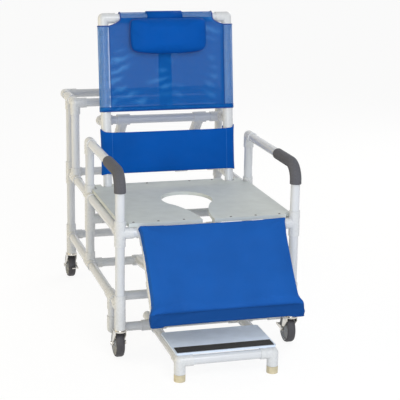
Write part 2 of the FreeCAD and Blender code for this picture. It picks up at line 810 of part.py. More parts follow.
def axle_shapes():
    """Axle bolt with a round head and a nut outside the fork and the pedal."""
    head = size("axle_head_thick")
    grip = size("fork_inside") / 2 + size("fork_wall") + size("pedal_gap") + size("pedal_wall") + 0.8
    axis = Vector(1, 0, 0)

    def round_bar(radius, length, start):
        return Part.makeCylinder(radius, length, Vector(start, size("trail"), size("wheel_od") / 2), axis)

    ends = [round_bar(size("axle_head") / 2, head, start) for start in (-grip - head, grip)]
    return [round_bar(size("axle_od") / 2, 2 * grip, -grip)] + ends


def pedal_shape(facing, inner):
    """Lock pedal: an arm on the inner side of the fork with a toe tab behind the tread.

    facing is the way along Y that the tab points, and inner the way along X to the chair's middle.
    """
    inside = size("fork_inside") / 2 + size("fork_wall") + size("pedal_gap")
    wall = size("pedal_wall")
    reach = size("pedal_reach")
    eye = size("pedal_eye") / 2
    end = size("pedal_end") / 2
    axis = Vector(1, 0, 0)
    blade = [Vector(0, 0, -eye), Vector(0, reach, -end), Vector(0, reach, end), Vector(0, 0, eye)]
    arm = Part.Face(Part.makePolygon(blade + blade[:1])).extrude(axis * wall)
    arm = arm.fuse(Part.makeCylinder(eye, wall, Vector(), axis))
    arm = arm.cut(Part.makeCylinder(size("axle_od") / 2 + size("axle_gap"), wall, Vector(), axis))
    toe_start = size("wheel_od") / 2 + size("tread_gap")
    toe_at = Vector(wall - size("pedal_toe"), toe_start, -end / 2)
    toe = Part.makeBox(size("pedal_toe"), reach - toe_start, end, toe_at)
    lever = arm.fuse(toe).removeSplitter().translated(Vector(inside, 0, 0))
    if facing < 0:
        lever = lever.mirror(Vector(), Vector(0, 1, 0))
    if inner < 0:
        lever = lever.mirror(Vector(), axis)
    return lever.translated(Vector(0, size("trail"), size("wheel_od") / 2))


def caster(name, side, depth, facing):
    """One caster at the foot of a post; facing tells which way its pedal points."""
    inner = 1 if side == "-" else -1
    at = (f"{side}half_width", f"shift_back + {depth}", "0")
    axle = ("0", "trail", "wheel_od / 2")
    hub_shape, tyre_shape = wheel_shapes()
    hub = place(drawn(hub_shape), axle)
    tyre = place(drawn(tyre_shape), axle)
    node(f"caster_fork_{name}", [drawn(fork_shape())], at)
    node(f"caster_hub_{name}", [hub], at)
    node(f"caster_tyre_{name}", [tyre], at)
    node(f"caster_pedal_{name}", [drawn(pedal_shape(facing, inner))], at)


caster("front_left", "-", "0", 1)
caster("front_right", "", "0", 1)
caster("rear_left", "-", "rear_depth", -1)
caster("rear_right", "", "rear_depth", -1)

# build, check and write every piece
doc.recompute()
for obj in doc.Objects:
    if "Invalid" in obj.State or "Error" in obj.State:
        raise RuntimeError(f"{obj.Name} did not build: {obj.State}")
os.makedirs("parts", exist_ok=True)
for obj in nodes:
    if obj.Shape.isNull() or not obj.Shape.isValid() or not obj.Shape.Solids:
        raise RuntimeError(f"{obj.Label} has no valid solid")
    obj.Shape.exportStep(f"parts/{obj.Label}.step")
print(len(nodes), "nodes,", sum(len(obj.Shape.Solids) for obj in nodes), "solids")
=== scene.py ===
"""Looks of the reclining shower chair: materials, cloth, cushions and small hardware."""
import json
import math

import bmesh
import bpy
from mathutils import Matrix, Vector


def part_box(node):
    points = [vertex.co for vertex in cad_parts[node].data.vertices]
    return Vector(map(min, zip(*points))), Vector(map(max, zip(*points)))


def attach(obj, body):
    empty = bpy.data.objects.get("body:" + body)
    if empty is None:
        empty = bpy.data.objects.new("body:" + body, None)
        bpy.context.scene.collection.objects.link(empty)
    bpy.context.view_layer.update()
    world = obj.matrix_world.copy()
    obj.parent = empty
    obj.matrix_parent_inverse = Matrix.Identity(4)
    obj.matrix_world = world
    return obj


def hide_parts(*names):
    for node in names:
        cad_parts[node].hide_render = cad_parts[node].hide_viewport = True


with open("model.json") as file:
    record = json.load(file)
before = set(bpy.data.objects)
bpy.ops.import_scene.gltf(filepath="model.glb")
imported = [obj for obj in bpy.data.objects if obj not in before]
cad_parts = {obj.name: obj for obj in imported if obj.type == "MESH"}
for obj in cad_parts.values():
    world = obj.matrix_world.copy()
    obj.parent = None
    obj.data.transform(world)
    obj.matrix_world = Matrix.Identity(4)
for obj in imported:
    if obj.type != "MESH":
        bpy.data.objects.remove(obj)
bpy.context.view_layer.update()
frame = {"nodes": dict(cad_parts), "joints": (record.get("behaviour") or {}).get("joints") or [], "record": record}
nodes = frame["nodes"]
joints = {joint["name"]: joint for joint in frame["joints"]}
scene = bpy.context.scene

# tilts of the two leaning parts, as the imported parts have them
BACK_TILT = math.radians(7.4)
LEG_TILT = math.radians(38.0)
PIPE_RADIUS = 0.0167
# pitches of the woven materials
MESH_PITCH = 0.0026
WEAVE_PITCH = 0.0011
RIB_PITCH = 0.0018


# materials
class Shader:
    """Small helper that adds and links the nodes of one procedural material."""

    def __init__(self, name, roughness, metallic=0.0):
        self.material = bpy.data.materials.new(name)
        self.material.use_nodes = True
        self.tree = self.material.node_tree
        self.surface = self.tree.nodes["Principled BSDF"]
        self.surface.inputs["Roughness"].default_value = roughness
        self.surface.inputs["Metallic"].default_value = metallic
        self.place = self.add("ShaderNodeTexCoord").outputs["Object"]

    def add(self, kind, **values):
        node = self.tree.nodes.new(kind)
        for name, value in values.items():
            setattr(node, name, value)
        return node

    def link(self, start, end):
        self.tree.links.new(start, end)

    def set(self, **values):
        for name, value in values.items():
            self.surface.inputs[name.replace("_", " ")].default_value = value
        return self

    def noise(self, scale, detail=3.0, stretch=(1, 1, 1)):
        """Noise over the piece's own coordinates, longer along one axis where stretch says so."""
        mapping = self.add("ShaderNodeMapping")
        mapping.inputs["Scale"].default_value = stretch
        self.link(self.place, mapping.inputs["Vector"])
        node = self.add("ShaderNodeTexNoise")
        node.inputs["Scale"].default_value = scale
        node.inputs["Detail"].default_value = detail
        self.link(mapping.outputs["Vector"], node.inputs["Vector"])
        return node.outputs["Fac"]

    def cells(self, scale):
        node = self.add("ShaderNodeTexVoronoi")
        node.inputs["Scale"].default_value = scale
        self.link(self.place, node.inputs["Vector"])
        return node.outputs["Distance"]

    def waves(self, direction, pitch, profile="SIN"):
        """Bands of one pitch across an axis of the piece."""
        node = self.add("ShaderNodeTexWave", bands_direction=direction, wave_profile=profile)
        node.inputs["Scale"].default_value = 2 * math.pi / (20 * pitch)
        self.link(self.place, node.inputs["Vector"])
        return node.outputs["Fac"]

    def math(self, operation, first, second):
        node = self.add("ShaderNodeMath", operation=operation)
        for value, socket in zip((first, second), node.inputs):
            if isinstance(value, (int, float)):
                socket.default_value = value
            else:
                self.link(value, socket)
        return node.outputs[0]

    def ramp(self, factor, stops):
        """Colours or grey levels along a factor; stops are (position, colour)."""
        node = self.add("ShaderNodeValToRGB")
        elements = node.color_ramp.elements
        while len(elements) < len(stops):
            elements.new(0.5)
        for element, (position, colour) in zip(elements, stops):
            element.position = position
            element.color = (*colour, 1.0)
        self.link(factor, node.inputs["Fac"])
        return node.outputs["Color"]

    def colour(self, factor, stops):
        self.link(self.ramp(factor, stops), self.surface.inputs["Base Color"])
        return self

    def rough(self, factor, low, high):
        level = self.ramp(factor, [(0.3, (low,) * 3), (0.7, (high,) * 3)])
        self.link(level, self.surface.inputs["Roughness"])
        return self

    def bump(self, height, strength, distance):
        """Bump map; a second call lies on top of the first."""
        node = self.add("ShaderNodeBump")
        node.inputs["Strength"].default_value = strength
        node.inputs["Distance"].default_value = distance
        self.link(height, node.inputs["Height"])
        socket = self.surface.inputs["Normal"]
        if socket.is_linked:
            self.link(socket.links[0].from_socket, node.inputs["Normal"])
        self.link(node.outputs["Normal"], socket)
        return self


def tints(colour, spread):
    """A darker and a lighter tint of one colour."""
    return [tuple(max(0.0, value * (1 - spread)) for value in colour),
            tuple(min(1.0, value * (1 + spread)) for value in colour)]


def pipe_white():
    look = Shader("pipe_white", 0.3)
    cloudy = look.noise(9.0)
    look.colour(cloudy, [(0.3, (0.65, 0.67, 0.705)), (0.7, (0.68, 0.70, 0.735))])
    look.rough(look.noise(60.0), 0.17, 0.27)
    look.bump(look.noise(900.0), 0.03, 0.0004)
    return look.set(Specular_IOR_Level=0.5, Coat_Weight=0.15).material


def fitting_white():
    look = Shader("fitting_white", 0.34)
    look.colour(look.noise(14.0), [(0.3, (0.655, 0.67, 0.69)), (0.7, (0.69, 0.705, 0.725))])
    look.rough(look.noise(90.0), 0.22, 0.34)
    look.bump(look.noise(420.0), 0.05, 0.0005)
    return look.set(Specular_IOR_Level=0.5).material


def foam_grey():
    look = Shader("foam_grey", 0.85)
    cells = look.cells(620.0)
    look.colour(cells, [(0.0, (0.055, 0.055, 0.065)), (0.7, (0.115, 0.115, 0.13))])
    look.bump(cells, 0.5, 0.0008)
    look.bump(look.noise(45.0), 0.15, 0.002)
    return look.material


def sheet_plastic(name, colour, grain):
    """Grained flat plastic sheet with faint mottling and scuffs."""
    look = Shader(name, 0.5)
    dark, light = tints(colour, 0.05)
    look.colour(look.noise(22.0, 6.0), [(0.3, dark), (0.7, light)])
    look.rough(look.noise(6.0, 5.0), 0.42, 0.6)
    look.bump(look.cells(grain), 0.22, 0.0006)
    return look.material


def mesh_cloth(name, open_to, gap_alpha, painted_light_strength, stops):
    """Woven mesh: open_to and gap_alpha say how wide and how clear its gaps are.

    Its light streaks are painted light, a moiré sheen in swirling patches; the argument after gap_alpha says how
    strongly they show, and stops are its tones.
    """
    look = Shader(name, 0.5)
    across = look.waves("X", MESH_PITCH)
    along = look.waves("Z", MESH_PITCH)
    threads = look.math("MAXIMUM", across, along)
    # painted light: swirling patches of moiré sheen, added as lighter streaks to the colour
    swirl = look.add("ShaderNodeTexWave", wave_type="RINGS", rings_direction="Y")
    swirl.inputs["Scale"].default_value = 9.0
    swirl.inputs["Distortion"].default_value = 5.0
    swirl.inputs["Detail Scale"].default_value = 1.6
    look.link(look.place, swirl.inputs["Vector"])
    patches = look.ramp(look.noise(7.0, 2.0), [(0.5, (0.0,) * 3), (0.68, (1.0,) * 3)])
    streaks = look.math("MULTIPLY", look.math("MULTIPLY", swirl.outputs["Fac"], patches), painted_light_strength)
    shade = look.math("ADD", look.math("MULTIPLY", threads, 0.4), streaks)
    look.colour(shade, stops)
    look.bump(threads, 0.4, 0.0006)
    look.bump(look.noise(11.0, 4.0, (1, 1, 0.6)), 0.25, 0.010)
    closed = look.ramp(threads, [(open_to, (gap_alpha,) * 3), (open_to + 0.2, (1.0,) * 3)])
    look.link(closed, look.surface.inputs["Alpha"])
    return look.set(Specular_IOR_Level=0.08).material


# painted shade: how far down the tone ramp and how much darker the cloth is painted under a given height
PAINTED_SHADE_STEP = 0.62
PAINTED_SHADE_TINT = 0.36


def coated_cloth(name, colour, painted_shade_below=None):
    """Soft coated cloth with a fine weave, slow tone changes and shallow creases.

    Where a height is given in the piece's own frame, the cloth is darker under it: painted shade for an end that
    faces away from the light.
    """
    look = Shader(name, 0.5)
    dark, light = tints(colour, 0.14)
    weave_height = look.math("MAXIMUM", look.waves("X", WEAVE_PITCH), look.waves("Z", WEAVE_PITCH))
    slow = look.math("MULTIPLY", look.noise(7.0, 4.0), 0.75)
    tone = look.math("ADD", slow, look.math("MULTIPLY", weave_height, 0.25))
    stops = [(0.25, dark), (0.75, light)]
    if painted_shade_below is not None:
        # painted shade: the cloth under the given height takes a darker tint
        split = look.add("ShaderNodeSeparateXYZ")
        look.link(look.place, split.inputs["Vector"])
        below = look.math("LESS_THAN", split.outputs["Z"], painted_shade_below)
        tone = look.math("SUBTRACT", tone, look.math("MULTIPLY", below, PAINTED_SHADE_STEP))
        stops.insert(0, (0.0, tints(colour, PAINTED_SHADE_TINT)[0]))
    look.colour(tone, stops)
    look.rough(look.noise(30.0), 0.58, 0.74)
    look.bump(weave_height, 0.25, 0.0003)
    look.bump(look.noise(26.0, 5.0), 0.16, 0.004)
    return look.set(Specular_IOR_Level=0.08).material


def webbing(name, colour):
    look = Shader(name, 0.6)
    ribs = look.math("MAXIMUM", look.waves("X", RIB_PITCH), look.waves("Z", RIB_PITCH))
    dark, light = tints(colour, 0.25)
    look.colour(ribs, [(0.2, dark), (0.8, light)])
    look.bump(ribs, 0.5, 0.0005)
    return look.set(Sheen_Weight=0.05).material


def grit_black():
    look = Shader("grit_black", 0.8)
    grit = look.cells(900.0)
    look.colour(grit, [(0.0, (0.05, 0.05, 0.052)), (0.4, (0.012, 0.012, 0.013))])
    look.bump(grit, 0.7, 0.0008)
    return look.material


def rubber(name, colour):
    look = Shader(name, 0.62)
    dark, light = tints(colour, 0.12)
    look.colour(look.noise(60.0, 4.0), [(0.3, dark), (0.7, light)])
    look.rough(look.noise(120.0), 0.5, 0.72)
    look.bump(look.noise(700.0), 0.2, 0.0004)
    return look.material


def plated_steel():
    look = Shader("plated_steel", 0.22, metallic=1.0)
    look.colour(look.noise(40.0), [(0.3, (0.55, 0.52, 0.46)), (0.7, (0.74, 0.72, 0.68))])
    look.rough(look.noise(300.0, 3.0, (1, 1, 0.15)), 0.16, 0.34)
    look.bump(look.noise(160.0), 0.06, 0.0006)
    return look.material


MESH_TONES = [(0.1, (0.0, 0.078, 0.35)), (0.45, (0.0, 0.112, 0.43)), (0.95, (0.05, 0.24, 0.60))]
# lighter than the panel's tones: painted light standing in for the lit white post and top bar seen through the
# pockets
POCKET_TONES_PAINTED_LIGHT = [(0.1, (0.02, 0.15, 0.50)), (0.45, (0.05, 0.24, 0.64)), (0.95, (0.14, 0.36, 0.78))]
LEG_BLUE = (0.010, 0.096, 0.39)
LOOKS = {
    "pipe_white": pipe_white(),
    "fitting_white": fitting_white(),
    "foam_grey": foam_grey(),
    "panel_grey": sheet_plastic("panel_grey", (0.60, 0.64, 0.625), 1100.0),
    "mesh_blue": mesh_cloth("mesh_blue", 0.4, 0.6, 0.6, MESH_TONES),
    "pad_blue": coated_cloth("pad_blue", (0.0, 0.080, 0.385)),
    "leg_blue": coated_cloth("leg_blue", LEG_BLUE),
    "plate_grey": sheet_plastic("plate_grey", (0.70, 0.80, 0.95), 800.0),
    "strip_dark": grit_black(),
    "tip_tan": rubber("tip_cream", (0.62, 0.55, 0.38)),
    "steel": plated_steel(),
    "hub_grey": rubber("hub_grey", (0.34, 0.35, 0.36)),
    "tyre_grey": rubber("tyre_grey", (0.055, 0.053, 0.06)),
}
BINDING = webbing("binding_blue", (0.006, 0.045, 0.25))
STRAP = webbing("strap_blue", (0.006, 0.07, 0.33))
# pocket mesh in the lighter tones of painted light
POCKET_MESH = mesh_cloth("mesh_blue_pocket", 0.7, 0.0, 0.35, POCKET_TONES_PAINTED_LIGHT)
THREAD = rubber("thread_blue", (0.002, 0.075, 0.33))
# lighter than the pad's blue: painted highlight for the sheen along a fold
FOLD_SHEEN = coated_cloth("fold_sheen_blue", (0.02, 0.14, 0.50))
SCREW = rubber("screw_grey", (0.16, 0.15, 0.15))

# finish of the parts that keep their own shape
SMOOTH_ANGLE = math.radians(35)
for entry in frame["record"]["subparts"]:
    part = nodes[entry["node"]]
    part.data.materials.clear()
    part.data.materials.append(LOOKS[entry["material_slot"]])
    weld = part.modifiers.new("weld", "WELD")
    weld.merge_threshold = 1e-6
    split = part.modifiers.new("crisp_edges", "EDGE_SPLIT")
    split.split_angle = SMOOTH_ANGLE
    part.data.shade_smooth()


# places of the leaning parts
def leaning(joint_name, tilt):
    """Frame of a part that hangs on a hinge: X across, Z along its pipes."""
    return Matrix.Translation(joints[joint_name]["pos_m"]) @ Matrix.Rotation(-tilt, 4, "X")


BACK = leaning("back_recline", BACK_TILT)
LEG = leaning("leg_raise", LEG_TILT)


def local_box(name, at):
    """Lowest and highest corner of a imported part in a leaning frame."""
    inverse = at.inverted()
    points = [inverse @ vertex.co for vertex in nodes[name].data.vertices]
    return (Vector([min(point[i] for point in points) for i in range(3)]),
            Vector([max(point[i] for point in points) for i in range(3)]))


def piece(name, mesh, at, body, look):
    """New object in a leaning frame that rides on a body."""
    obj = bpy.data.objects.new(name, mesh)
    scene.collection.objects.link(obj)
    obj.matrix_world = at
    obj.data.materials.append(look)
    for face in mesh.polygons:
        face.use_smooth = True
    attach(obj, body)
    return obj


def grid_mesh(name, rows):
    """Mesh over a grid of points, one list of points per row."""
    mesh = bpy.data.meshes.new(name)
    width = len(rows[0])
    points = [point for row in rows for point in row]
    faces = [
        (r * width + c, r * width + c + 1, (r + 1) * width + c + 1, (r + 1) * width + c)
        for r in range(len(rows) - 1) for c in range(width - 1)
    ]
    mesh.from_pydata(points, [], faces)
    return mesh


def steps(start, end, count):
    return [start + (end - start) * i / count for i in range(count + 1)]


def thicken(obj, thickness, offset=-1.0):
    solid = obj.modifiers.new("thickness", "SOLIDIFY")
    solid.thickness = thickness
    solid.offset = offset
    return obj


# mesh sling: one sheet stretched between the posts, with pockets round them and round the top bar
SLING_WALL = 0.0012
CORNER_ACROSS = 0.064
CORNER_DROP = 0.030
SLING_SAG = 0.010
RIPPLE = 0.0014
POCKET_LAP = 0.001
SLING_ROWS = 50
CORNER_ROWS = 14
SLING_COLUMNS = 56
TUBE_SIDES = 8
sling_low, sling_high = local_box("back_sling", BACK)
post_high = local_box("back_posts", BACK)[1]
POST_X = post_high.x - PIPE_RADIUS
POCKET = sling_high.x - POST_X
SLING_FOOT = sling_low.z
TOP_BAR_Z = sling_high.z - POCKET
CORNER_Z = TOP_BAR_Z - CORNER_DROP


def sling_front(across, height):
    """Y of the stretched panel's face: it sags back a little between the pockets."""
    share = 1 - min(1.0, abs(across) / POST_X) ** 2
    level = min(1.0, max(0.0, (height - SLING_FOOT) / (TOP_BAR_Z - SLING_FOOT)))
    ripple = RIPPLE * math.sin(across * 46.0 + height * 17.0) * math.sin(height * 39.0)
    return -POCKET + share * math.sin(math.pi * level ** 0.8) * (SLING_SAG + ripple)


def pocket_arc(side, height):
    """Points round a post from its inner rear side to its front."""
    return [
        Vector((side * (POST_X + POCKET * math.sin(turn)), POCKET * math.cos(turn), height))
        for turn in steps(math.radians(-60), math.radians(180), 16)
    ]


def corner_half(height):
    """Half width of the panel: cut out in a curve at the upper corners."""
    left = 1 - min(1.0, max(0.0, height - CORNER_Z) / CORNER_DROP)
    return POST_X - CORNER_ACROSS + (CORNER_ACROSS - PIPE_RADIUS) * left ** 2.4


def panel_mesh():
    """Panel between the posts, up to the top bar."""
    rows = []
    heights = steps(SLING_FOOT, CORNER_Z, SLING_ROWS)
    heights += steps(CORNER_Z, TOP_BAR_Z, CORNER_ROWS)[1:]
    for height in heights:
        across = steps(-corner_half(height), corner_half(height), SLING_COLUMNS)
        rows.append([Vector((x, sling_front(x, height), height)) for x in across])
    return grid_mesh("sling", rows)


def pocket_mesh(side):
    """Sleeve round a post with the edge of the panel that lies before it."""
    rows = []
    across = steps(POST_X, POST_X - PIPE_RADIUS - POCKET_LAP, 6)[1:]
    for height in steps(SLING_FOOT, CORNER_Z, SLING_ROWS):
        edge = [Vector((side * x, sling_front(x, height), height)) for x in across]
        rows.append((pocket_arc(side, height) + edge)[::side])
    return grid_mesh("sling_pocket", rows)


def fold_mesh():
    """Upper edge of the sling that folds over the top bar."""
    half = corner_half(TOP_BAR_Z)
    rows = []
    for turn in steps(0, math.radians(250), 22):
        y = -POCKET * math.cos(turn)
        z = TOP_BAR_Z + POCKET * math.sin(turn)
        rows.append([Vector((x, y, z)) for x in steps(-half, half, 48)])
    return grid_mesh("sling_fold", rows)


def ribbon(name, points, width_way, width, look, body, at, thickness):
    """Flat tape along points, as wide as given along one way."""
    half = Vector(width_way).normalized() * width / 2
    rows = [[Vector(point) - half, Vector(point), Vector(point) + half] for point in points]
    return thicken(piece(name, grid_mesh(name, rows), at, body, look), thickness, 0.0)


def tube_mesh(name, points, radius, closed=False):
    """Round cord, such as a piping or a thread, along points."""
    rows = []
    count = len(points)
    for i, point in enumerate(points):
        before = points[i - 1] if closed or i else points[i]
        after = points[(i + 1) % count] if closed or i < count - 1 else points[i]
        ahead = (after - before).normalized()
        if abs(ahead.y) > 0.9:
            side = ahead.orthogonal()
        else:
            side = ahead.cross(Vector((0, 1, 0))).normalized()
        up = side.cross(ahead).normalized()
        rows.append([
            point + (side * math.cos(turn) + up * math.sin(turn)) * radius
            for turn in steps(0, 2 * math.pi, TUBE_SIDES)
        ])
    return grid_mesh(name, rows + rows[:1] if closed else rows)


def sew(name, kind, line, radius, look, closed=False):
    """Thread, piping or binding along a line on the back."""
    piece(name, tube_mesh(kind, line, radius, closed), BACK, "back", look)


sling = piece("sling_cloth", panel_mesh(), BACK, "back", LOOKS["mesh_blue"])
thicken(sling, SLING_WALL)
edge_meshes = {
    "pocket_left": pocket_mesh(-1),
    "pocket_right": pocket_mesh(1),
    "fold": fold_mesh(),
}
sling_edges = [
    thicken(piece(f"sling_{name}", mesh, BACK, "back", POCKET_MESH), SLING_WALL)
    for name, mesh in edge_meshes.items()
]
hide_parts("back_sling")

# hem, seams and bindings of the sling
PROUD = 0.0012
HEM = 0.016
HEM_WALL = 0.0009
HEM_WRAP = math.radians(110)
STITCH_RADIUS = 0.0007
STITCH_DROP = 0.002
STITCH_INSET = 0.003
BINDING_RADIUS = 0.0022
FOOT_BINDING_RADIUS = 0.0018


def on_sling(across, height):
    return Vector((across, sling_front(across, height) - PROUD, height))


def round_post(side, reach, turns, height):
    """Points round a post at a reach from its axis, turned from its front to its outer side."""
    return [
        Vector((side * (POST_X + reach * math.sin(turn)), -reach * math.cos(turn), height))
        for turn in turns
    ]


def hem_line(level):
    """Line at one height across the sling's front and round the outer sides of its pockets."""
    turns = steps(0, HEM_WRAP, 12)
    left = round_post(-1, POCKET + PROUD, turns[::-1], level)
    right = round_post(1, POCKET + PROUD, turns, level)
    return left + [on_sling(x, level) for x in steps(-POST_X, POST_X, 40)[1:-1]] + right


ribbon("sling_hem", hem_line(SLING_FOOT + HEM / 2), (0, 0, 1), HEM,
       LOOKS["mesh_blue"], "back", BACK, HEM_WALL)
top_stitch = TOP_BAR_Z - POCKET - STITCH_DROP
top_half = corner_half(top_stitch)
stitches = {
    "foot": hem_line(SLING_FOOT + HEM),
    "top": [on_sling(x, top_stitch) for x in steps(-top_half, top_half, 48)],
}
for name, line in stitches.items():
    sew(f"sling_stitch_{name}", "stitch", line, STITCH_RADIUS, THREAD)
for side, name in ((-1, "left"), (1, "right")):
    seam_x = side * (POST_X - PIPE_RADIUS - STITCH_INSET)
    line = [on_sling(seam_x, z) for z in steps(SLING_FOOT, CORNER_Z, 30)]
    sew(f"sling_stitch_{name}", "stitch", line, STITCH_RADIUS, THREAD)
    edge = round_post(side, POCKET, steps(math.radians(100), 0, 10), CORNER_Z)
    for z in steps(CORNER_Z, TOP_BAR_Z, 16):
        edge.append(Vector((side * corner_half(z), sling_front(corner_half(z), z), z)))
    for turn in steps(0, math.radians(200), 14)[1:]:
        z = TOP_BAR_Z + POCKET * math.sin(turn)
        edge.append(Vector((edge[-1].x, -POCKET * math.cos(turn), z)))
    sew(f"sling_binding_{name}", "binding", edge, BINDING_RADIUS, BINDING)
    foot = round_post(side, POCKET, steps(math.radians(170), 0, 14), SLING_FOOT)
    foot += [on_sling(side * x, SLING_FOOT) for x in steps(POST_X, 0, 20)[1:]]
    sew(f"sling_foot_binding_{name}", "binding", foot, FOOT_BINDING_RADIUS, BINDING)


# cushions
# how far down the half height the lower corners start to stand out, and over which share
FLARE_START = 0.60
FLARE_RUN = 0.20
# share of the half thickness that the sloped end falls to, and the power of its curve
SLOPE_END = 0.9
SLOPE_CURVE = 0.85


def cushion_mesh(name, half, cuts, crown, draw, ears, rounding, slope=0.0, bulge=0.0):
    """Stuffed cover: crowned front towards -Y, flat back, sides drawn in between its corners.

    half is half the width, thickness and height; crown is how far the rim of the front falls
    back and draw how far the sides pull in. ears and rounding give, for the upper and the lower
    corners, how far they stand out and the power of the curve that rounds them. slope is the
    share of the half height over which the lower end slants to the back, and bulge how far the
    lower edge sags in its middle.
    """
    shell = bmesh.new()
    bmesh.ops.create_cube(shell, size=2.0)
    bmesh.ops.subdivide_edges(shell, edges=shell.edges[:], cuts=cuts, use_grid_fill=True)
    wide, thick, high = half
    for vertex in shell.verts:
        u, w, v = vertex.co
        upper = v > 0
        power = rounding[0] if upper else rounding[1]
        ear = ears[0] if upper else ears[1]
        far = max(abs(u), abs(v))
        ring = (abs(u) ** power + abs(v) ** power) ** (1 / power)
        shrink = far / ring if ring > 0 else 1.0
        corner = (abs(u) * abs(v)) ** (12 if upper else 7)
        step = min(1.0, max(0.0, (-v - FLARE_START) / FLARE_RUN))
        flare = corner if upper else step * step * (3 - 2 * step) * abs(u) ** 7
        x = u * wide * shrink - math.copysign(draw, u) * (1 - v * v) * abs(u) ** 3
        x += math.copysign(ear, u) * flare
        z = v * high * shrink - math.copysign(draw * 0.5, v) * (1 - u * u) * abs(v) ** 3
        z += math.copysign(ear * 0.6, v) * corner
        if not upper:
            z -= bulge * (1 - u * u) * abs(v) ** 3
        y = w * thick
        if w < 0:
            y -= w * crown * far ** 8
            past = max(0.0, -v - (1 - slope)) / slope if slope else 0.0
            y += (thick * SLOPE_END - y) * past ** SLOPE_CURVE
        vertex.co = Vector((x, y, z))
    mesh = bpy.data.meshes.new(name)
    shell.to_mesh(mesh)
    shell.free()
    return mesh


# cloth simulation of the cushions
VOXEL = 0.005
PRESSURE = 4.0
LAST_FRAME = 20


def swell(obj, cap):
    """Blow the cover up as cloth, keep its back where it rests, and cap how far a point moves."""
    remesh = obj.modifiers.new("remesh", "REMESH")
    remesh.mode = "VOXEL"
    remesh.voxel_size = VOXEL
    apply_modifiers(obj)
    rest = [vertex.co.copy() for vertex in obj.data.vertices]
    back = max(point.y for point in rest)
    held = obj.vertex_groups.new(name="held")
    held.add([i for i, point in enumerate(rest) if point.y > back - VOXEL], 1.0, "REPLACE")
    cloth = obj.modifiers.new("cloth", "CLOTH")
    cloth.settings.use_pressure = True
    cloth.settings.uniform_pressure_force = PRESSURE
    cloth.settings.effector_weights.gravity = 0.0
    cloth.settings.vertex_group_mass = "held"
    cloth.point_cache.frame_start = 1
    cloth.point_cache.frame_end = LAST_FRAME
    for number in range(1, LAST_FRAME + 1):
        scene.frame_set(number)
    shaped = obj.evaluated_get(bpy.context.evaluated_depsgraph_get()).data
    moved = [vertex.co.copy() for vertex in shaped.vertices]
    obj.modifiers.remove(cloth)
    for vertex, start, end in zip(obj.data.vertices, rest, moved):
        step = end - start
        vertex.co = start + step * min(1.0, cap / max(step.length, 1e-9))
    scene.frame_set(1)


def apply_modifiers(obj):
    """Bake an object's modifiers into its mesh."""
    shaped = obj.evaluated_get(bpy.context.evaluated_depsgraph_get())
    mesh = bpy.data.meshes.new_from_object(shaped)
    obj.modifiers.clear()
    obj.data = mesh


def soften(obj):
    """Round a mesh off by one level of subdivision."""
    smooth = obj.modifiers.new("smooth", "SUBSURF")
    smooth.levels = smooth.render_levels = 1
    for face in obj.data.polygons:
        face.use_smooth = True


LEG_SLOPE = 0.2
LEG_PAD_SHIFT = 0.007
PILLOW_BULGE = 0.002
PILLOW_ROUNDING = (14, 6)
PIPING_RADIUS = 0.0028
PIPING_DEPTH = 0.012


def cushion(name, node, at, body, slot, cap, fill, shift=0.0, **form):
    """Stuffed piece in the room of a packed cushion, set off its middle by shift."""
    low, high = local_box(node, at)
    middle = (low + high) / 2
    mesh = cushion_mesh(name, (high - low) / 2, **form)
    for vertex in mesh.vertices:
        vertex.co += middle + Vector((shift, 0, 0))
    obj = piece(name, mesh, at, body, LOOKS[slot])
    swell(obj, cap)
    soften(obj)
    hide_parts(node)


pad_low, pad_high = local_box("leg_pad", LEG)
fold_z = pad_low.z + (pad_high.z - pad_low.z) / 2 * LEG_SLOPE
# the leg pad's sloped lower end, under the fold, gets painted shade
LOOKS["leg_blue"] = coated_cloth("leg_cover_blue", LEG_BLUE, painted_shade_below=fold_z)
cushion(
    "leg_cushion", "leg_pad", LEG, "leg_rest", "leg_blue", cap=0.003, fill=0.8, shift=LEG_PAD_SHIFT,
    cuts=40, crown=0.006, draw=0.004, ears=(0.009, 0.014), rounding=(40, 40), slope=LEG_SLOPE)
cushion(
    "head_cushion", "head_pillow", BACK, "back", "pad_blue", cap=0.004, fill=0.7,
    cuts=24, crown=0.018, draw=0.0, ears=(0.0, 0.0), rounding=PILLOW_ROUNDING, bulge=PILLOW_BULGE)


def pillow_rim():
    """Closed line round the rear rim of the pillow, where its piping runs."""
    low, high = local_box("head_pillow", BACK)
    middle = (low + high) / 2
    half = (high - low) / 2
    line = []
    for turn in steps(0, 2 * math.pi, 80)[:-1]:
        u, v = math.cos(turn), math.sin(turn)
        power = PILLOW_ROUNDING[0] if v > 0 else PILLOW_ROUNDING[1]
        reach = (abs(u) ** power + abs(v) ** power) ** (-1 / power)
        sag = PILLOW_BULGE * (1 - min(1.0, abs(u * reach)) ** 2) * max(0.0, -v * reach) ** 3
        x = middle.x + u * reach * half.x
        z = middle.z + v * reach * half.z - sag
        line.append(Vector((x, high.y - PIPING_DEPTH, z)))
    return line


sew("pillow_piping", "piping", pillow_rim(), PIPING_RADIUS, BINDING, closed=True)


# seam where the front of the leg pad folds to its sloped lower end
FOLD_RADIUS = 0.0022
FOLD_INSET = 0.006
FOLD_SINK = 0.001
FOLD_FALL = 0.006
fold_half = pad_high.x - FOLD_INSET
fold_line = [
    Vector((x + LEG_PAD_SHIFT, pad_low.y + FOLD_SINK + FOLD_FALL * abs(x / fold_half) ** 8, fold_z))
    for x in steps(-fold_half, fold_half, 40)
]
fold_tube = tube_mesh("fold", fold_line, FOLD_RADIUS)
piece("leg_pad_fold", fold_tube, LEG, "leg_rest", LOOKS["leg_blue"])

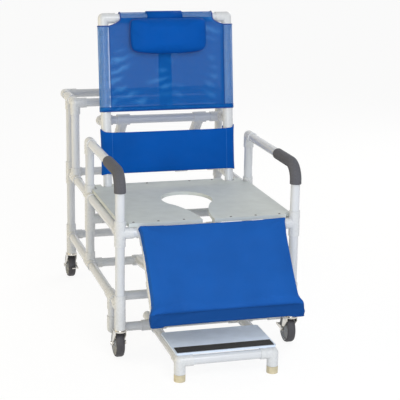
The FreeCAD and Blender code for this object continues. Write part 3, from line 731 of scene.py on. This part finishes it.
# lumbar support: padded band whose sleeves go round the posts, with peaked upper corners
lumbar_low, lumbar_high = local_box("lumbar_pad", BACK)
lumbar_low += Vector((0, 0.004, 0.003))
lumbar_high -= Vector((0, 0, 0.012))
SLEEVE = lumbar_high.x - POST_X
SLEEVE_PEAK = 0.014
INNER_PEAK = 0.009
INNER_PEAK_TURN = math.radians(-58)
LUMBAR_WALL = 0.003
LUMBAR_INSET = 0.012
SEAM_RADIUS = 0.0012
SEAM_PROUD = 0.0005
SEAM_END = 0.002


def lumbar_level(height):
    """How full the pad is at a height, and how near its upper or lower edge that is."""
    span = 2 * (height - lumbar_low.z) / (lumbar_high.z - lumbar_low.z) - 1
    return 1 - abs(span) ** 6, math.copysign(abs(span) ** 12, span)


def lumbar_front(across, height):
    """Y of the pad's face."""
    full = lumbar_level(height)[0]
    share = 1 - abs(across / POST_X) ** 5
    return -SLEEVE - (-lumbar_low.y - SLEEVE) * share * (0.55 + 0.45 * full)


def sleeve_arc(side, height):
    """Points round a post, drawn up to small peaks at the outer and at the inner rear side."""
    full, edge = lumbar_level(height)
    reach = SLEEVE - 0.002 * full
    arc = []
    for turn in steps(math.radians(-75), math.radians(165), 16):
        lift = edge * SLEEVE_PEAK * max(0.0, math.sin(turn)) ** 2 * (1.0 if edge > 0 else 0.5)
        if edge > 0 > turn:
            lift += edge * INNER_PEAK * max(0.0, math.cos(3 * (turn - INNER_PEAK_TURN)))
        x = side * (POST_X + reach * math.sin(turn))
        arc.append(Vector((x, reach * math.cos(turn), height + lift)))
    return arc


def lumbar_mesh():
    """Band across the front that wraps each post, thin at the sleeves and full between."""
    rows = []
    inner = POST_X - LUMBAR_INSET
    for height in steps(lumbar_low.z, lumbar_high.z, 26):
        middle = [Vector((x, lumbar_front(x, height), height)) for x in steps(-inner, inner, 48)]
        rows.append(sleeve_arc(-1, height) + middle + sleeve_arc(1, height)[::-1])
    return grid_mesh("lumbar", rows)


lumbar = piece("lumbar_cover", lumbar_mesh(), BACK, "back", LOOKS["pad_blue"])
thicken(lumbar, LUMBAR_WALL)
soften(lumbar)
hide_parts("lumbar_pad")
for side, name in ((-1, "left"), (1, "right")):
    seam_x = side * (POST_X - PIPE_RADIUS)
    line = [Vector((seam_x, lumbar_front(seam_x, z) - SEAM_PROUD, z))
            for z in steps(lumbar_low.z + SEAM_END, lumbar_high.z - SEAM_END, 24)]
    # the seams take the lighter blue of the painted fold highlight
    sew(f"lumbar_seam_{name}", "seam", line, SEAM_RADIUS, FOLD_SHEEN)


# flap that hangs the pillow over the top bar, and its strap that runs down behind the mesh
FLAP_WIDTH = 0.140
FLAP_WALL = 0.0016
FLAP_DROP = 0.05
FLAP_GAP = 0.003
STRAP_WIDTH = 0.052
STRAP_WALL = 0.0012
STRAP_X = -0.008
STRAP_GAP = 0.004
flap_reach = POCKET + FLAP_GAP
flap_line = [
    Vector((STRAP_X, -flap_reach * math.cos(turn), TOP_BAR_Z + flap_reach * math.sin(turn)))
    for turn in steps(math.radians(-25), math.radians(180), 18)
]
for z in steps(TOP_BAR_Z, TOP_BAR_Z - FLAP_DROP, 6)[1:]:
    flap_line.append(Vector((STRAP_X, flap_reach, z)))
flap = ribbon("pillow_flap", flap_line, (1, 0, 0), FLAP_WIDTH,
              LOOKS["pad_blue"], "back", BACK, FLAP_WALL)
strap_line = [
    Vector((STRAP_X, sling_front(STRAP_X, z) + STRAP_GAP, z))
    for z in steps(TOP_BAR_Z - POCKET, SLING_FOOT + STRAP_GAP, 30)
]
strap = ribbon("pillow_strap", strap_line, (1, 0, 0), STRAP_WIDTH,
               STRAP, "back", BACK, STRAP_WALL)

# screws that hold the seat panel down
SCREW_RADIUS = 0.0045
SCREW_INSET = 0.015
SCREW_SPAN = 0.29
HEAD_SHARE = 0.45
DISH_SHARE = 0.45
DISH_LEVEL = 0.55
panel_low, panel_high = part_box("seat_panel")


def screw_mesh():
    """Pan head with a dished middle."""
    head = bmesh.new()
    bmesh.ops.create_uvsphere(head, u_segments=16, v_segments=8, radius=SCREW_RADIUS)
    for vertex in head.verts:
        vertex.co.z = max(0.0, vertex.co.z) * HEAD_SHARE
        near = math.hypot(vertex.co.x, vertex.co.y) < SCREW_RADIUS * DISH_SHARE
        if near and vertex.co.z > 0:
            vertex.co.z *= DISH_LEVEL
    mesh = bpy.data.meshes.new("screw")
    head.to_mesh(mesh)
    head.free()
    return mesh


for row, (y, shares) in enumerate((
        (panel_low.y + SCREW_INSET, (-0.93, -0.62, -0.3, 0.3, 0.62, 0.93)),
        (panel_high.y - SCREW_INSET, (-0.62, -0.3, 0.3, 0.62)))):
    for number, share in enumerate(shares):
        place = Matrix.Translation((share * SCREW_SPAN, y, panel_high.z))
        piece(f"seat_screw_{row}_{number}", screw_mesh(), place, "frame", SCREW)


# studio
FLOOR_REACH = 40.0
FLOOR_DROP = 0.0005
FLOOR_GLOW = 1.045
GLOW_SHARE = 0.86
WORLD_STRENGTH = 0.44
WARM, COOL = (0.92, 0.84, 0.60), (0.95, 0.97, 1.0)
COOL_FROM = 0.55


def seen_rays(tree, rays):
    """One where the camera looks straight, by a mirror or through something clear."""
    total = rays.outputs["Is Camera Ray"]
    for kind in ("Is Glossy Ray", "Is Transmission Ray"):
        node = tree.nodes.new("ShaderNodeMath")
        node.operation = "MAXIMUM"
        tree.links.new(total, node.inputs[0])
        tree.links.new(rays.outputs[kind], node.inputs[1])
        total = node.outputs[0]
    return total


def floor():
    """Pale floor that looks white but for the object's shadow."""
    mesh = bpy.data.meshes.new("floor")
    ways = ((-1, -1), (1, -1), (1, 1), (-1, 1))
    corners = [(x * FLOOR_REACH, y * FLOOR_REACH, 0) for x, y in ways]
    mesh.from_pydata(corners, [], [(0, 1, 2, 3)])
    obj = bpy.data.objects.new("floor", mesh)
    obj.location.z = -FLOOR_DROP
    scene.collection.objects.link(obj)
    material = bpy.data.materials.new("floor_pale")
    material.use_nodes = True
    tree = material.node_tree
    surface = tree.nodes["Principled BSDF"]
    surface.inputs["Base Color"].default_value = (0.88, 0.88, 0.88, 1)
    surface.inputs["Roughness"].default_value = 0.9
    glow = tree.nodes.new("ShaderNodeEmission")
    glow.inputs["Color"].default_value = (1, 1, 1, 1)
    glow.inputs["Strength"].default_value = FLOOR_GLOW
    rays = tree.nodes.new("ShaderNodeLightPath")
    share = tree.nodes.new("ShaderNodeMath")
    share.operation = "MULTIPLY"
    share.inputs[1].default_value = GLOW_SHARE
    tree.links.new(seen_rays(tree, rays), share.inputs[0])
    mix = tree.nodes.new("ShaderNodeMixShader")
    tree.links.new(share.outputs[0], mix.inputs["Fac"])
    tree.links.new(surface.outputs[0], mix.inputs[1])
    tree.links.new(glow.outputs[0], mix.inputs[2])
    tree.links.new(mix.outputs[0], tree.nodes["Material Output"].inputs["Surface"])
    obj.data.materials.append(material)


def surroundings():
    """White for the camera; for the object, soft light that is warm from -X and cool from +X."""
    world = bpy.data.worlds.new("studio")
    scene.world = world
    world.use_nodes = True
    tree = world.node_tree
    soft = tree.nodes["Background"]
    soft.inputs["Strength"].default_value = WORLD_STRENGTH
    ways = tree.nodes.new("ShaderNodeTexCoord")
    split = tree.nodes.new("ShaderNodeSeparateXYZ")
    tree.links.new(ways.outputs["Generated"], split.inputs["Vector"])
    sides = tree.nodes.new("ShaderNodeMapRange")
    sides.inputs["From Min"].default_value = -1.0
    tree.links.new(split.outputs["X"], sides.inputs["Value"])
    tones = tree.nodes.new("ShaderNodeValToRGB")
    for element, colour in zip(tones.color_ramp.elements, (WARM, COOL)):
        element.color = (*colour, 1.0)
    tones.color_ramp.elements[1].position = COOL_FROM
    tree.links.new(sides.outputs["Result"], tones.inputs["Fac"])
    tree.links.new(tones.outputs["Color"], soft.inputs["Color"])
    white = tree.nodes.new("ShaderNodeBackground")
    white.inputs["Color"].default_value = (1, 1, 1, 1)
    rays = tree.nodes.new("ShaderNodeLightPath")
    mix = tree.nodes.new("ShaderNodeMixShader")
    tree.links.new(seen_rays(tree, rays), mix.inputs["Fac"])
    tree.links.new(soft.outputs[0], mix.inputs[1])
    tree.links.new(white.outputs[0], mix.inputs[2])
    tree.links.new(mix.outputs[0], tree.nodes["World Output"].inputs["Surface"])


def lamp(name, at, target, width, watts, colour):
    light = bpy.data.lights.new(name, "AREA")
    light.size = width
    light.energy = watts
    light.color = colour
    obj = bpy.data.objects.new(name, light)
    obj.location = at
    obj.rotation_euler = (Vector(target) - Vector(at)).to_track_quat("-Z", "Y").to_euler()
    scene.collection.objects.link(obj)


# camera of the photograph: place, aim and lens
CAMERA_PLACE = (-1.2175, -4.5128, 1.6635)
CAMERA_ANGLES = (16.11, 14.39, 0.93)
CAMERA_LENS = 112.7
SENSOR_WIDTH = 36.0


def camera():
    """Camera turned by its azimuth, pitch and roll."""
    azimuth, pitch, roll = (math.radians(angle) for angle in CAMERA_ANGLES)
    flat = math.cos(pitch)
    ahead = Vector((math.sin(azimuth) * flat, math.cos(azimuth) * flat, -math.sin(pitch)))
    level = Vector((math.cos(azimuth), -math.sin(azimuth), 0))
    right = level * math.cos(roll) + level.cross(ahead) * math.sin(roll)
    up = right.cross(ahead)
    data = bpy.data.cameras.new("camera")
    data.sensor_width = SENSOR_WIDTH
    data.lens = CAMERA_LENS
    obj = bpy.data.objects.new("camera", data)
    turned = Matrix((right, up, -ahead)).transposed().to_4x4()
    obj.matrix_world = Matrix.Translation(CAMERA_PLACE) @ turned
    scene.collection.objects.link(obj)
    scene.camera = obj


floor()
surroundings()
MIDDLE = (0, 0, 0.5)
lamp("key", (0.4, -3.8, 3.2), MIDDLE, 1.8, 66, (0.94, 0.97, 1.0))
lamp("fill", (-1.3, -4.4, 1.3), MIDDLE, 1.6, 58, (0.94, 0.965, 1.0))
lamp("warm_side", (-3.8, 0.9, 1.3), MIDDLE, 2.2, 44, (1.0, 0.80, 0.42))
lamp("rim", (2.8, 2.2, 2.6), MIDDLE, 2.4, 40, (1.0, 0.98, 0.95))
camera()
scene.view_settings.view_transform = "Standard"
